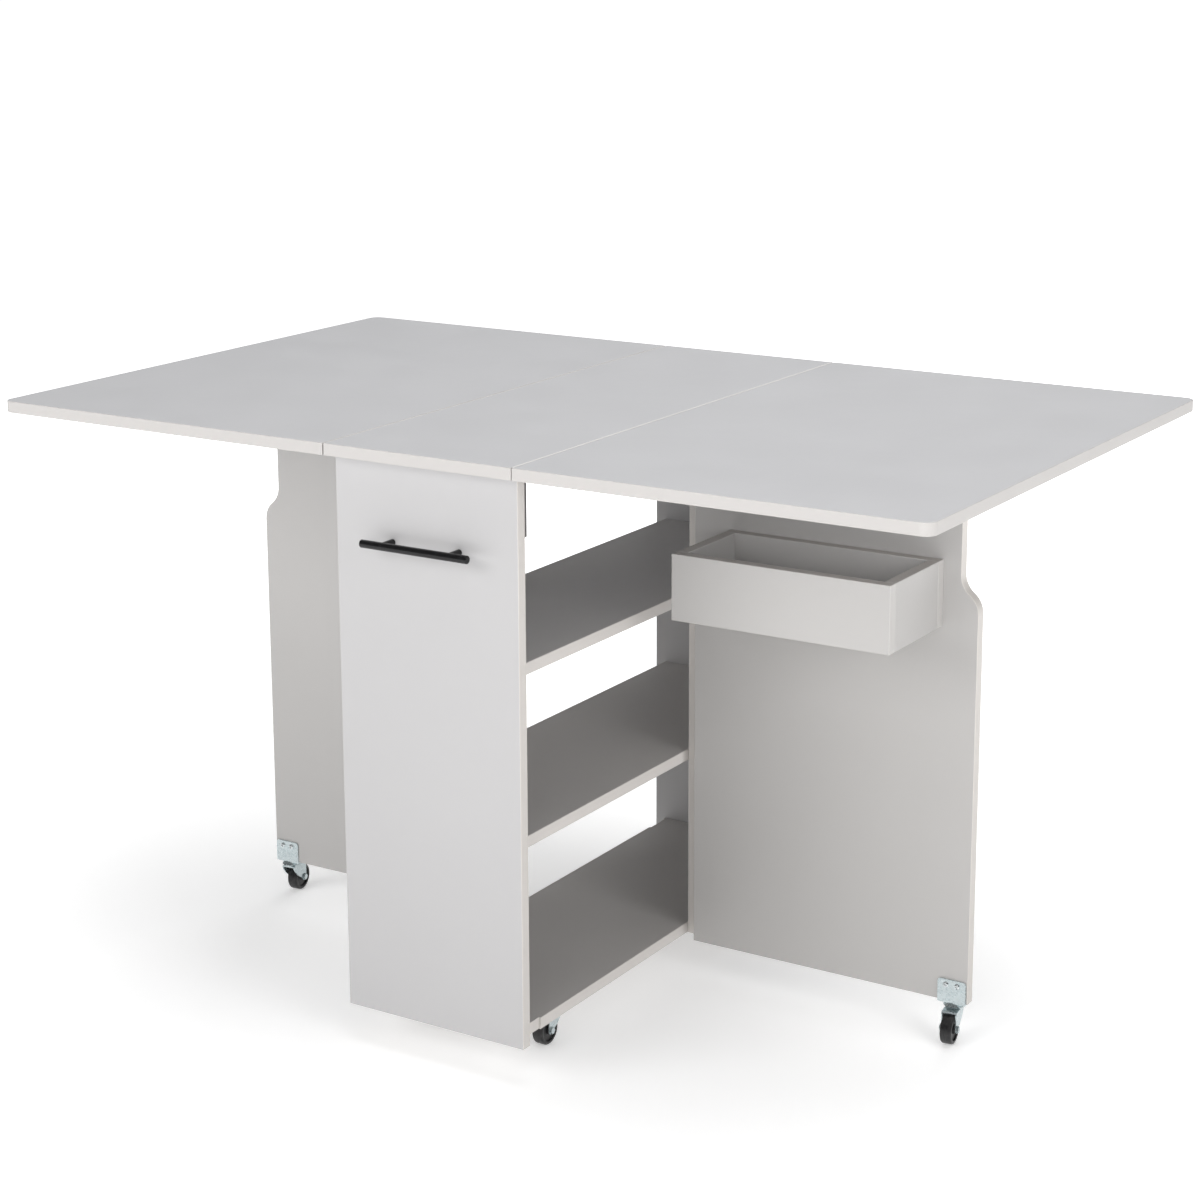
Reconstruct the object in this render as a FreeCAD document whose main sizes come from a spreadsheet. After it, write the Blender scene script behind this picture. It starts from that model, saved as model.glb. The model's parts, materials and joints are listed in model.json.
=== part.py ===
"""Folding drop-leaf table on a castored storage trolley, in millimetres.

X runs along the open table, Y across it towards the back, Z up from the floor, and the
origin lies on the floor under the middle of the top. Half a turn about Z brings the right
leaf and gate to the left ones, so every left piece is its right twin turned round. Only the
left gate's storage box hangs further out than its twin.
"""
import FreeCAD, Part
import math
import os
from types import SimpleNamespace
import Sketcher
from FreeCAD import Placement, Rotation, Vector

# ---------------------------------------------------------------- driving dimensions
SIZES = (
    ("overall_height", 770, "floor to the top face"),
    ("board", 15, "thickness of every panel, shelf, gate, leaf and box board"),
    ("edge_ease", 0.6, "softened edge of an edge-banded board"),
    ("castor_height", 51, "floor to the underside of every upright board"),
    ("top_depth", 800, "depth of the top and its leaves"),
    ("centre_width", 268, "width of the fixed middle of the top"),
    ("leaf_length", 520.5, "reach of one drop leaf"),
    ("leaf_corner", 15, "radius of a leaf's outer corners"),
    ("seam_gap", 1.5, "gap between the middle and a leaf"),
    ("end_width", 261, "width of an end panel"),
    ("end_inset", 18.5, "end panel's set-back from the edge of the top"),
    ("mid_shelf_rise", 242, "underside of the middle shelf above the panels' foot"),
    ("top_shelf_rise", 457, "underside of the top shelf above the panels' foot"),
    ("shelf_play", 0.3, "gap round a shelf"),
    ("shelf_notch_play", 1.2, "room round a shut gate's castor bracket in the bottom shelf"),
    ("pin_bore", 5.1, "shelf-pin hole"),
    ("pin_size", 5, "shelf-pin diameter"),
    ("pin_depth", 10, "how deep a shelf pin goes in"),
    ("pin_reach", 9, "how far a shelf pin stands out"),
    ("pin_setback", 37, "shelf pin from the panel's edge"),
    ("side_edge", 36.5, "fixed side panel starts this far past the middle"),
    ("gate_gap", 4, "gap at a gate's hinged edge"),
    ("gate_end_gap", 5, "gap at a gate's free edge when it is shut"),
    ("gate_top_gap", 6, "gap over a gate"),
    ("notch_width", 23.5, "how far the gate's upper corner is cut back"),
    ("notch_rise", 47, "height of the S-shaped step under the cut-back"),
    ("notch_foot", 503, "foot of the S-shaped step above the gate's foot"),
    ("glide_play", 0.3, "gap between a gate's glide and the open leaf"),
    ("glide_length", 40, "glide on a gate's top edge"),
    ("glide_inset", 100, "glide's set-back from the notch"),
    ("glide_width", 12, "glide across the edge"),
    ("right_box_setback", 52, "right gate's storage box from its hinged edge"),
    ("left_box_setback", 64, "left gate's storage box from its hinged edge"),
    ("box_length", 295, "storage box along the gate"),
    ("box_depth", 148, "storage box out from the gate"),
    ("box_height", 84, "storage box boards"),
    ("box_rise", 483.5, "storage box above the gate's foot"),
    ("box_floor", 9, "floor board of the storage box"),
    ("hinge_sheet", 1.5, "thickness of a hinge leaf"),
    ("hinge_length", 60, "length of a hinge"),
    ("hinge_wing", 20, "hinge leaf from the pin to its outer edge"),
    ("top_knuckle", 3.2, "knuckle radius of a top hinge"),
    ("gate_knuckle", 2.9, "knuckle radius of a gate hinge"),
    ("knuckle_gap", 0.3, "play between neighbouring knuckles"),
    ("knuckle_play", 0.1, "play between a knuckle and the board or leaf beside it"),
    ("hinge_pin", 3, "hinge-pin diameter"),
    ("running_play", 0.05, "radial clearance of a turning fit"),
    ("top_hinge_inset", 110, "middle of a hinge from the end of its leaf"),
    ("gate_hinge_inset", 110, "middle of a hinge from the end of its gate"),
    ("bar_diameter", 10, "towel bar"),
    ("bar_length", 154, "towel bar"),
    ("bar_offset", 24, "towel bar's axis from the end panel"),
    ("bar_drop", 99, "towel bar's axis below the underside of the top"),
    ("post_spacing", 96, "spacing of the towel bar's posts"),
    ("post_diameter", 8, "post of the towel bar"),
    ("bar_bolt", 4, "bolt of a towel-bar post"),
    ("bolt_head", 8, "head of a towel-bar bolt"),
    ("bolt_head_height", 2.4, "head of a towel-bar bolt"),
    ("angle_leg", 26, "leg of an angle bracket under the top"),
    ("angle_width", 30, "width of an angle bracket"),
    ("angle_sheet", 2, "thickness of an angle bracket"),
    ("angle_clear", 4, "gap between an angle bracket and a towel-bar bolt"),
    ("wheel_radius", 19, "castor wheel"),
    ("wheel_width", 15, "castor wheel across its tread"),
    ("wheel_shoulder", 3, "bevel between the wheel's tread and its side"),
    ("wheel_ring", 1.8, "raised ring round the wheel's side"),
    ("dish_depth", 2, "how far the wheel's side lies below that ring"),
    ("hub_radius", 6, "castor hub"),
    ("hub_width", 16, "castor hub"),
    ("axle_size", 5, "castor axle"),
    ("axle_head", 9, "hexagon of the axle's head and nut, across its corners"),
    ("axle_head_height", 2.4, "axle's head and nut"),
    ("trail", 17, "castor axle behind the swivel axis"),
    ("fork_sheet", 1.6, "castor fork"),
    ("fork_play", 0.4, "hub to fork on each side"),
    ("fork_end", 5, "radius of the fork's end round the axle"),
    ("fork_nose", 10, "fork's reach ahead of the swivel axis"),
    ("fork_bulge", 2.5, "how far the fork's leading edge swells out"),
    ("fork_corner", 3, "bevel of the fork's crown over the wheel"),
    ("fork_crown", 42, "top of the fork's web above the floor"),
    ("race_radius", 13.5, "castor's ball race at its rim"),
    ("race_taper", 2.5, "how much smaller the race is where it meets plate and fork"),
    ("race_height", 3.1, "lower half of the ball race"),
    ("race_gap", 0.3, "gap between the halves of the race"),
    ("kingpin_size", 6, "castor kingpin"),
    ("kingpin_head", 10, "riveted end of the kingpin"),
    ("kingpin_head_height", 1.5, "riveted end of the kingpin"),
    ("plate_side", 38, "castor plate, and the width of a gate castor's bracket"),
    ("plate_sheet", 2, "castor plate and bracket"),
    ("plate_corner", 4, "corner radius of castor plates"),
    ("plate_hole", 4.2, "screw hole of a castor plate"),
    ("plate_hole_inset", 6, "screw hole from the plate's edge"),
    ("bracket_height", 31, "side plate of a gate castor's bracket"),
    ("bracket_play", 0.1, "gap between the bracket and the gate"),
    ("bracket_inset", 2, "bracket from the gate's free edge"),
    ("bracket_screw_spacing", 15, "the two screws of a bracket's side plate"),
    ("bracket_screw_drop", 7, "screws below the top of the side plate"),
    ("screw_head", 7, "wood-screw head"),
    ("screw_head_height", 2, "wood-screw head"),
    ("screw_shank", 3.5, "wood-screw shank"),
    ("screw_length", 6, "wood-screw shank in the board"),
    ("castor_side_inset", 35.5, "trolley castor's axis from a side panel's inner face"),
    ("castor_end_inset", 125.5, "trolley castor's axis from an end panel's inner face"),
    ("gate_castor_turn", 7, "how far a gate's castor is turned, in degrees"),
)

doc = FreeCAD.newDocument("folding_table")
sheet = doc.addObject("Spreadsheet::Sheet", "sizes")
for row, (alias, value, note) in enumerate(SIZES, 1):
    sheet.set(f"A{row}", note)
    sheet.set(f"B{row}", str(value))
    sheet.setAlias(f"B{row}", alias)
doc.recompute()
v = SimpleNamespace(**{alias: float(sheet.get(alias)) for alias, _, _ in SIZES})

# ---------------------------------------------------------------- places worked out from them
underside = v.overall_height - v.board
foot = v.castor_height
bar_height = underside - v.bar_drop
panel_height = underside - foot
end_face = v.top_depth / 2 - v.end_inset
end_inner = end_face - v.board
side_outer = v.end_width / 2
side_inner = side_outer - v.board
seam = v.centre_width / 2
leaf_start = seam + v.seam_gap
recess = v.hinge_sheet + v.knuckle_play
top_pin_x = seam + v.seam_gap / 2
top_pin_z = underside + recess - v.knuckle_play - v.top_knuckle
gate_pin_x = side_outer + v.gate_knuckle + v.knuckle_play
gate_pin_y = v.side_edge - v.gate_gap / 2
gate_width = end_inner + v.side_edge - v.gate_gap - v.gate_end_gap
gate_height = panel_height - v.gate_top_gap
gate_x = gate_pin_x + v.gate_gap / 2
gate_back = gate_pin_y - v.gate_knuckle - v.knuckle_play
gate_face = gate_back - v.board
gate_castor_x = gate_x + gate_width - v.bracket_inset - v.plate_side / 2
gate_castor_y = (gate_face + gate_back) / 2
top_hinges = tuple(side * (v.top_depth / 2 - v.top_hinge_inset) for side in (-1, 1))
gate_hinges = (foot + v.gate_hinge_inset, foot + gate_height - v.gate_hinge_inset)

parts = []


# ---------------------------------------------------------------- helpers
def at(x=0.0, y=0.0, z=0.0, axis=(0, 0, 1), angle=0.0):
    return Placement(Vector(x, y, z), Rotation(Vector(*axis), angle))


HALF_TURN = at(angle=180)


def bind(thing, prop, text):
    """Ties a property to the sheet, with every size in text named by its alias."""
    words = text.replace("(", " ( ").replace(")", " ) ").split()
    thing.setExpression(prop, " ".join(f"sizes.{w}" if hasattr(v, w) else w for w in words))


def keep(thing, label, place=None):
    """Names a finished sub-part, puts it in its place and lists it for export."""
    thing.Label = label
    if place is not None:
        thing.Placement = place
    parts.append(thing)
    return thing


def new_body(name):
    return doc.addObject("PartDesign::Body", name)


def new_sketch(body, role, offset=0.0):
    """An empty sketch on one of the body's own planes, moved along the plane's normal."""
    plane = next(f for f in body.Origin.OriginFeatures if f.Role == role)
    sketch = body.newObject("Sketcher::SketchObject", "Sketch")
    sketch.AttachmentSupport = [(plane, "")]
    sketch.MapMode = "FlatFace"
    sketch.AttachmentOffset = at(z=offset)
    return sketch


def add_rectangle(sketch, x, y, wide, high, wide_text=None, high_text=None):
    """A rectangle from its low corner, its sides tied to the sheet where texts are given."""
    corners = [Vector(x, y), Vector(x + wide, y), Vector(x + wide, y + high), Vector(x, y + high)]
    first = len(sketch.Geometry)
    for n in range(4):
        sketch.addGeometry(Part.LineSegment(corners[n], corners[(n + 1) % 4]), False)
    for n in range(4):
        sketch.addConstraint(Sketcher.Constraint("Coincident", first + n, 2, first + (n + 1) % 4, 1))
        sketch.addConstraint(Sketcher.Constraint(("Horizontal", "Vertical")[n % 2], first + n))
    for side, length, text in ((0, wide, wide_text), (1, high, high_text)):
        if text:
            number = sketch.addConstraint(Sketcher.Constraint("Distance", first + side, length))
            bind(sketch, f"Constraints[{number}]", text)


def add_circle(sketch, x, y, radius, radius_text=None):
    number = sketch.addGeometry(Part.Circle(Vector(x, y), Vector(0, 0, 1), radius), False)
    if radius_text:
        tie = sketch.addConstraint(Sketcher.Constraint("Radius", number, radius))
        bind(sketch, f"Constraints[{tie}]", radius_text)


def add_outline(sketch, edges):
    """Edges that follow each other round a closed outline, each held where it is drawn."""
    for edge in edges:
        number = sketch.addGeometry(edge, False)
        sketch.addConstraint(Sketcher.Constraint("Block", number))


def line(a, b):
    return Part.LineSegment(Vector(*a), Vector(*b))


def pad(body, sketch, text, reverse=False, middle=False):
    feature = body.newObject("PartDesign::Pad", "Pad")
    feature.Profile = sketch
    bind(feature, "Length", text)
    feature.Reversed = reverse
    feature.Midplane = middle
    return feature


def pocket(body, sketch, text=None, reverse=False, middle=False):
    """A cut to a depth, or right through when there is no text; it has to take something away."""
    doc.recompute()
    before = body.Shape.Volume
    feature = body.newObject("PartDesign::Pocket", "Pocket")
    feature.Profile = sketch
    feature.Reversed = reverse
    feature.Midplane = middle
    if text:
        bind(feature, "Length", text)
    else:
        feature.Type = "ThroughAll"
    doc.recompute()
    if not body.Shape.Volume < before:
        raise RuntimeError(f"{body.Label}: a cut took nothing away")
    return feature


def dress(body, kind, chosen, prop, text):
    """A fillet or chamfer on the edges of the body's last feature that chosen() picks."""
    doc.recompute()
    base = body.Tip
    names = [f"Edge{n}" for n, edge in enumerate(base.Shape.Edges, 1) if chosen(edge)]
    feature = body.newObject(kind, kind.split("::")[1])
    feature.Base = (base, names)
    bind(feature, prop, text)
    return feature


def ease_edges(body, chosen=lambda edge: True):
    return dress(body, "PartDesign::Chamfer", chosen, "Size", "edge_ease")


def runs_along(axis):
    def test(edge):
        return abs(abs(edge.tangentAt(edge.FirstParameter).dot(axis)) - 1) < 1e-6
    return test


def group(label, shape, places):
    """Identical pieces under one name, each a solid of its own."""
    thing = doc.addObject("Part::Feature", label)
    thing.Shape = Part.makeCompound([shape.transformed(p.toMatrix()) for p in places])
    return keep(thing, label)


def plain_board(label, sizes, place, texts):
    """A rectangular board with softened edges; its origin is its low corner."""
    body = new_body(label)
    sketch = new_sketch(body, "XY_Plane")
    add_rectangle(sketch, 0, 0, sizes[0], sizes[1], texts[0], texts[1])
    pad(body, sketch, texts[2])
    ease_edges(body)
    return keep(body, label, place)


# ---------------------------------------------------------------- trolley: panels and shelves
PANEL_HEIGHT = "overall_height - board - castor_height"


def end_panel(label, place, has_bar):
    """Stands on edge with its outer face on the XZ plane and its foot at the origin.

    Its inner face has a pair of holes for the pins under each loose shelf.
    """
    body = new_body(label)
    sketch = new_sketch(body, "XZ_Plane")
    add_rectangle(sketch, -side_outer, 0, v.end_width, panel_height, "end_width", PANEL_HEIGHT)
    pad(body, sketch, "board", reverse=True)
    ease_edges(body)
    holes = new_sketch(body, "XZ_Plane", -v.board)
    for rise in (v.mid_shelf_rise, v.top_shelf_rise):
        for side in (-1, 1):
            add_circle(holes, side * (side_outer - v.pin_setback), rise - v.pin_size / 2,
                       v.pin_bore / 2, "pin_bore / 2")
    pocket(body, holes, "pin_depth + shelf_play", reverse=True)
    if has_bar:
        bolts = new_sketch(body, "XZ_Plane")
        for side in (-1, 1):
            add_circle(bolts, side * v.post_spacing / 2, bar_height - foot,
                       v.bar_bolt / 2 + v.running_play, "bar_bolt / 2 + running_play")
        pocket(body, bolts, reverse=False)
    return keep(body, label, place)


def trolley():
    end_panel("near_end_panel", at(y=-end_face, z=foot), True)
    end_panel("far_end_panel", at(y=end_face, z=foot, angle=180), False)
    side_length = end_inner - v.side_edge
    for name, turn in (("right", at()), ("left", HALF_TURN)):
        place = turn * at(side_inner, v.side_edge, foot)
        plain_board(f"{name}_side_panel", (v.board, side_length), place,
                    ("board", "top_depth / 2 - end_inset - board - side_edge", PANEL_HEIGHT))
    shelf = (2 * (side_inner - v.shelf_play), 2 * (end_inner - v.shelf_play))
    texts = ("end_width - 2 * ( board + shelf_play )",
             "top_depth - 2 * ( end_inset + board + shelf_play )", "board")
    for name, rise in (("bottom", 0), ("mid", v.mid_shelf_rise), ("top", v.top_shelf_rise)):
        place = at(-shelf[0] / 2, -shelf[1] / 2, foot + rise)
        board = plain_board(f"{name}_shelf", shelf, place, texts)
        if name == "bottom":
            add_bracket_notches(board, shelf)


def add_bracket_notches(board, shelf):
    """Cuts room into the bottom shelf's edges for the castor bracket of each shut gate."""
    bracket_face = gate_castor_y - v.board / 2 - v.bracket_play - v.plate_sheet
    shut_face_x = gate_pin_x - (gate_pin_y - bracket_face)
    shut_middle_y = gate_pin_y - (gate_castor_x - gate_pin_x)
    wide = v.plate_side + 2 * v.shelf_notch_play
    deep = shelf[0] / 2 - shut_face_x + v.shelf_notch_play
    x, y = shelf[0] - deep, shelf[1] / 2 + shut_middle_y - wide / 2
    notches = new_sketch(board, "XY_Plane")
    add_rectangle(notches, x, y, deep, wide)
    add_rectangle(notches, 0, shelf[1] - y - wide, deep, wide)
    pocket(board, notches, reverse=True)


def shelf_pins():
    """Round pins that stand out of the end panels, two under each end of a loose shelf."""
    pin = Part.makeCylinder(v.pin_size / 2, v.pin_depth + v.pin_reach, Vector(0, -v.pin_depth, 0),
                            Vector(0, 1, 0))
    places = []
    for rise in (v.mid_shelf_rise, v.top_shelf_rise):
        for side in (-1, 1):
            seat = at(side * (side_outer - v.pin_setback), -end_inner, foot + rise - v.pin_size / 2)
            places += [seat, HALF_TURN * seat]
    group("shelf_pins", pin, places)


def top_brackets():
    """Steel angles that tie the end panels to the fixed middle of the top."""
    body = new_body("angle_bracket")
    sketch = new_sketch(body, "YZ_Plane")
    leg, sheet_ = v.angle_leg, v.angle_sheet
    corners = [(0, 0), (0, -leg), (sheet_, -leg), (sheet_, -sheet_), (leg, -sheet_), (leg, 0)]
    add_outline(sketch, [line(a, b) for a, b in zip(corners, corners[1:] + corners[:1])])
    pad(body, sketch, "angle_width", middle=True)
    doc.recompute()
    places = []
    reach = (v.post_spacing + v.bolt_head + v.angle_width) / 2 + v.angle_clear
    for side in (-1, 1):
        seat = at(side * reach, -end_inner, underside)
        places += [seat, HALF_TURN * seat]
    group("top_brackets", body.Shape, places)


# ---------------------------------------------------------------- the top and its leaves
def add_recesses(sketch, x):
    """A shallow recess at each hinge, from x outwards over a hinge leaf's reach."""
    reach = v.hinge_wing + v.knuckle_play
    wide = v.hinge_length + 2 * v.knuckle_play
    for y in top_hinges:
        add_rectangle(sketch, x, y - wide / 2, reach - v.seam_gap / 2, wide)


def fixed_top():
    """The middle of the top, with recesses for the hinges in its underside."""
    body = new_body("centre_top")
    sketch = new_sketch(body, "XY_Plane")
    add_rectangle(sketch, -seam, -v.top_depth / 2, v.centre_width, v.top_depth,
                  "centre_width", "top_depth")
    pad(body, sketch, "board")
    ease_edges(body)
    cuts = new_sketch(body, "XY_Plane")
    reach = v.hinge_wing + v.knuckle_play - v.seam_gap / 2
    add_recesses(cuts, -seam)
    add_recesses(cuts, seam - reach)
    pocket(body, cuts, "hinge_sheet + knuckle_play", reverse=True)
    keep(body, "centre_top", at(z=underside))


def leaf(label, turn):
    """A drop leaf: round outer corners, hinge recesses along the seam edge at x = 0."""
    body = new_body(label)
    sketch = new_sketch(body, "XY_Plane")
    add_rectangle(sketch, 0, -v.top_depth / 2, v.leaf_length, v.top_depth,
                  "leaf_length", "top_depth")
    pad(body, sketch, "board")
    upright = runs_along(Vector(0, 0, 1))
    dress(body, "PartDesign::Fillet", lambda e: upright(e) and e.Vertexes[0].X > v.leaf_length / 2,
          "Radius", "leaf_corner")
    ease_edges(body, lambda e: not upright(e))
    cuts = new_sketch(body, "XY_Plane")
    add_recesses(cuts, 0)
    pocket(body, cuts, "hinge_sheet + knuckle_play", reverse=True)
    keep(body, label, turn * at(leaf_start, 0, underside))


# ---------------------------------------------------------------- hinges
def hinge_leaf(name, knuckle, moving):
    """A stamped hinge leaf. The pin runs along Z through the origin, and the leaf lies along +X
    on the face y = -(knuckle + play), rolled round the pin at its own knuckles: the middle one
    of a moving leaf, the outer two of a fixed one.
    """
    body = new_body(name)
    back = -knuckle
    third = v.hinge_length / 3
    start = knuckle + v.knuckle_gap
    wing = new_sketch(body, "XY_Plane", -v.hinge_length / 2)
    add_rectangle(wing, start, back, v.hinge_wing - start, v.hinge_sheet, None, "hinge_sheet")
    pad(body, wing, "hinge_length")
    trim = v.knuckle_gap / 2
    starts = (trim - third / 2,) if moving else (-v.hinge_length / 2, third / 2 + trim)
    for low in starts:
        roll = new_sketch(body, "XY_Plane", low)
        add_outline(roll, [
            Part.Arc(Vector(0, back), Vector(-knuckle, 0), Vector(0, knuckle)),
            Part.Arc(Vector(0, knuckle), Vector(knuckle * math.sin(math.pi / 4),
                                                knuckle * math.cos(math.pi / 4)),
                     Vector(knuckle, 0)),
            line((knuckle, 0), (knuckle, back + v.hinge_sheet)),
            line((knuckle, back + v.hinge_sheet), (start + v.hinge_sheet, back + v.hinge_sheet)),
            line((start + v.hinge_sheet, back + v.hinge_sheet), (start + v.hinge_sheet, back)),
            line((start + v.hinge_sheet, back), (0, back)),
        ])
        pad(body, roll, f"hinge_length / 3 - knuckle_gap{'' if moving else ' / 2'}")
    bore = new_sketch(body, "XY_Plane")
    add_circle(bore, 0, 0, v.hinge_pin / 2 + v.running_play, "hinge_pin / 2 + running_play")
    pocket(body, bore, middle=True)
    return body.Shape


def on_axes(point, along, out):
    """A placement whose X runs along and whose Y runs out, at a point."""
    x, y = Vector(*along), Vector(*out)
    return Placement(point, Rotation(x, y, x.cross(y), "XYZ"))


def top_hinges_all():
    """Two hinges under each seam: the pins lie along the seam, the leaves in the recesses."""
    pin = Part.makeCylinder(v.hinge_pin / 2, v.hinge_length, Vector(0, 0, -v.hinge_length / 2))
    fixed_leaf = hinge_leaf("top_hinge_fixed_leaf", v.top_knuckle, False)
    moving_leaf = hinge_leaf("top_hinge_moving_leaf", v.top_knuckle, True)
    points = [Vector(top_pin_x, y, top_pin_z) for y in top_hinges]
    fixed = [on_axes(p, (-1, 0, 0), (0, 0, -1)) for p in points]
    moving = [on_axes(p, (1, 0, 0), (0, 0, -1)) for p in points]
    group("top_hinge_leaves", fixed_leaf, fixed + [HALF_TURN * p for p in fixed])
    group("top_hinge_pins", pin, fixed + [HALF_TURN * p for p in fixed])
    group("right_leaf_hinge_leaves", moving_leaf, moving)
    group("left_leaf_hinge_leaves", moving_leaf, [HALF_TURN * p for p in moving])


def gate_hinges_all():
    """Two upright hinges on each gate. One leaf lies on the side panel's outer face and the
    other on the gate's back face, so that the shut gate lies flush with the side panel.
    """
    pin = Part.makeCylinder(v.hinge_pin / 2, v.hinge_length, Vector(0, 0, -v.hinge_length / 2))
    fixed_leaf = hinge_leaf("gate_hinge_fixed_leaf", v.gate_knuckle, False)
    moving_leaf = hinge_leaf("gate_hinge_moving_leaf", v.gate_knuckle, True)
    points = [Vector(gate_pin_x, gate_pin_y, z) for z in gate_hinges]
    fixed = [on_axes(p, (0, 1, 0), (1, 0, 0)) for p in points]
    moving = [on_axes(p, (1, 0, 0), (0, 1, 0)) for p in points]
    group("side_hinge_leaves", fixed_leaf, fixed + [HALF_TURN * p for p in fixed])
    group("side_hinge_pins", pin, fixed + [HALF_TURN * p for p in fixed])
    group("right_gate_hinge_leaves", moving_leaf, moving)
    group("left_gate_hinge_leaves", moving_leaf, [HALF_TURN * p for p in moving])


# ---------------------------------------------------------------- gates
def gate_panel(label, turn):
    """A full-height gate with its foot at z = 0, its hinged edge at x = 0 and its face at y = 0.

    An S-shaped step cuts its upper free corner back.
    """
    body = new_body(label)
    sketch = new_sketch(body, "XZ_Plane")
    wide, tall, cut, rise = gate_width, gate_height, v.notch_width, v.notch_rise
    radius = (cut ** 2 + rise ** 2) / (4 * cut)
    sweep = math.acos(1 - cut / (2 * radius))
    low = Vector(wide - radius, v.notch_foot)
    high = Vector(wide - cut + radius, v.notch_foot + rise)
    middle = low + Vector(math.cos(sweep), math.sin(sweep)) * radius
    half = Vector(math.cos(sweep / 2), math.sin(sweep / 2)) * radius
    step_foot = (wide, v.notch_foot)
    step_head = (wide - cut, v.notch_foot + rise)
    add_outline(sketch, [
        line((0, 0), (wide, 0)),
        line((wide, 0), step_foot),
        Part.Arc(Vector(*step_foot), low + half, middle),
        Part.Arc(middle, high - half, Vector(*step_head)),
        line(step_head, (wide - cut, tall)),
        line((wide - cut, tall), (0, tall)),
        line((0, tall), (0, 0)),
    ])
    pad(body, sketch, "board", reverse=True)
    ease_edges(body, lambda e: not runs_along(Vector(0, 1, 0))(e))
    for face, inward in ((0.0, False), (-v.board, True)):
        pilots = new_sketch(body, "XZ_Plane", face)
        for x, z in bracket_screws():
            add_circle(pilots, x - gate_x, z - foot, v.screw_shank / 2, "screw_shank / 2")
        pocket(body, pilots, "screw_length", reverse=inward)
    return keep(body, label, turn * at(gate_x, gate_face, foot))


def bracket_screws():
    """X and Z of the two screws in each side plate of the right gate's castor bracket."""
    height = foot - v.plate_sheet + v.bracket_height - v.bracket_screw_drop
    return [(gate_castor_x + side * v.bracket_screw_spacing / 2, height) for side in (-1, 1)]


def bracket_screw_places():
    """The right bracket's four screws, two in each side plate, heads outwards."""
    reach = v.board / 2 + v.bracket_play + v.plate_sheet
    places = []
    for x, z in bracket_screws():
        places.append(on_axes(Vector(x, gate_castor_y + reach, z), (-1, 0, 0), (0, 0, 1)))
        places.append(on_axes(Vector(x, gate_castor_y - reach, z), (1, 0, 0), (0, 0, 1)))
    return places


def storage_box(side, setback, turn):
    """An open-topped box on the gate's near face: the front board laps over both sides."""
    left = gate_x + setback
    front = gate_face - v.box_depth
    low = foot + v.box_rise
    between = v.box_length - 2 * v.board
    deep = v.box_depth - 2 * v.board
    for name, y in (("front", front), ("back", gate_face - v.board)):
        plain_board(f"{side}_box_{name}", (v.box_length, v.board), turn * at(left, y, low),
                    ("box_length", "board", "box_height"))
    cheek = Part.makeBox(v.board, deep, v.box_height)
    cheek = cheek.makeChamfer(v.edge_ease, cheek.Edges)
    places = [turn * at(x, front + v.board, low) for x in (left, left + v.box_length - v.board)]
    group(f"{side}_box_sides", cheek, places)
    plain_board(f"{side}_box_floor", (between, deep), turn * at(left + v.board, front + v.board, low),
                ("box_length - 2 * board", "box_depth - 2 * board", "box_floor"))


def glide(side, turn):
    """A low plastic pad on the gate's top edge, which carries the open leaf."""
    body = new_body("glide")
    sketch = new_sketch(body, "XY_Plane")
    add_rectangle(sketch, 0, -v.glide_width / 2, v.glide_length, v.glide_width,
                  "glide_length", "glide_width")
    pad(body, sketch, "gate_top_gap - glide_play")
    dress(body, "PartDesign::Fillet", runs_along(Vector(0, 0, 1)), "Radius", "glide_width / 4")
    end = gate_x + gate_width - v.notch_width - v.glide_inset
    place = at(end - v.glide_length, gate_face + v.board / 2, foot + gate_height)
    keep(body, f"{side}_gate_glide", turn * place)


# ---------------------------------------------------------------- castors
def add_race(body, low, tall, rim_below):
    """A pressed cup of the ball race on the swivel axis, widest where the two cups meet."""
    neck, rim = v.race_radius - v.race_taper, v.race_radius
    foot_radius, head_radius = (rim, neck) if rim_below else (neck, rim)
    section = new_sketch(body, "XZ_Plane")
    corners = [(0, low), (foot_radius, low), (head_radius, low + tall), (0, low + tall)]
    add_outline(section, [line(a, b) for a, b in zip(corners, corners[1:] + corners[:1])])
    spin = body.newObject("PartDesign::Revolution", "Revolution")
    spin.Profile = section
    spin.ReferenceAxis = (own_axis(body, "Z_Axis"), [""])
    spin.Angle = 360


def own_axis(body, role):
    return next(f for f in body.Origin.OriginFeatures if f.Role == role)


def kingpin():
    """The riveted pin that a fork swivels on, seen from the plate's top face at z = 0."""
    top = -v.running_play
    shoulder = v.fork_crown - v.fork_sheet - v.race_gap - foot
    pin = Part.makeCylinder(v.kingpin_size / 2, top - shoulder, Vector(0, 0, shoulder))
    head = Part.makeCone(v.kingpin_size / 2, v.kingpin_head / 2, v.kingpin_head_height,
                         Vector(0, 0, shoulder - v.kingpin_head_height))
    return pin.fuse(head).removeSplitter()


def fixed_race_height():
    return foot - v.plate_sheet - v.fork_crown - v.race_height - v.race_gap


def castor_plate():
    """A square screw-on plate with its top face at z = 0 and the upper half of the race."""
    body = new_body("castor_plate")
    sketch = new_sketch(body, "XY_Plane", -v.plate_sheet)
    add_rectangle(sketch, -v.plate_side / 2, -v.plate_side / 2, v.plate_side, v.plate_side,
                  "plate_side", "plate_side")
    pad(body, sketch, "plate_sheet")
    dress(body, "PartDesign::Fillet", runs_along(Vector(0, 0, 1)), "Radius", "plate_corner")
    add_race(body, -v.plate_sheet - fixed_race_height(), fixed_race_height(), True)
    holes = new_sketch(body, "XY_Plane")
    add_circle(holes, 0, 0, v.kingpin_size / 2, "kingpin_size / 2")
    spread = v.plate_side / 2 - v.plate_hole_inset
    for x in (-spread, spread):
        for y in (-spread, spread):
            add_circle(holes, x, y, v.plate_hole / 2, "plate_hole / 2")
    pocket(body, holes)
    return body.Shape


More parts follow.
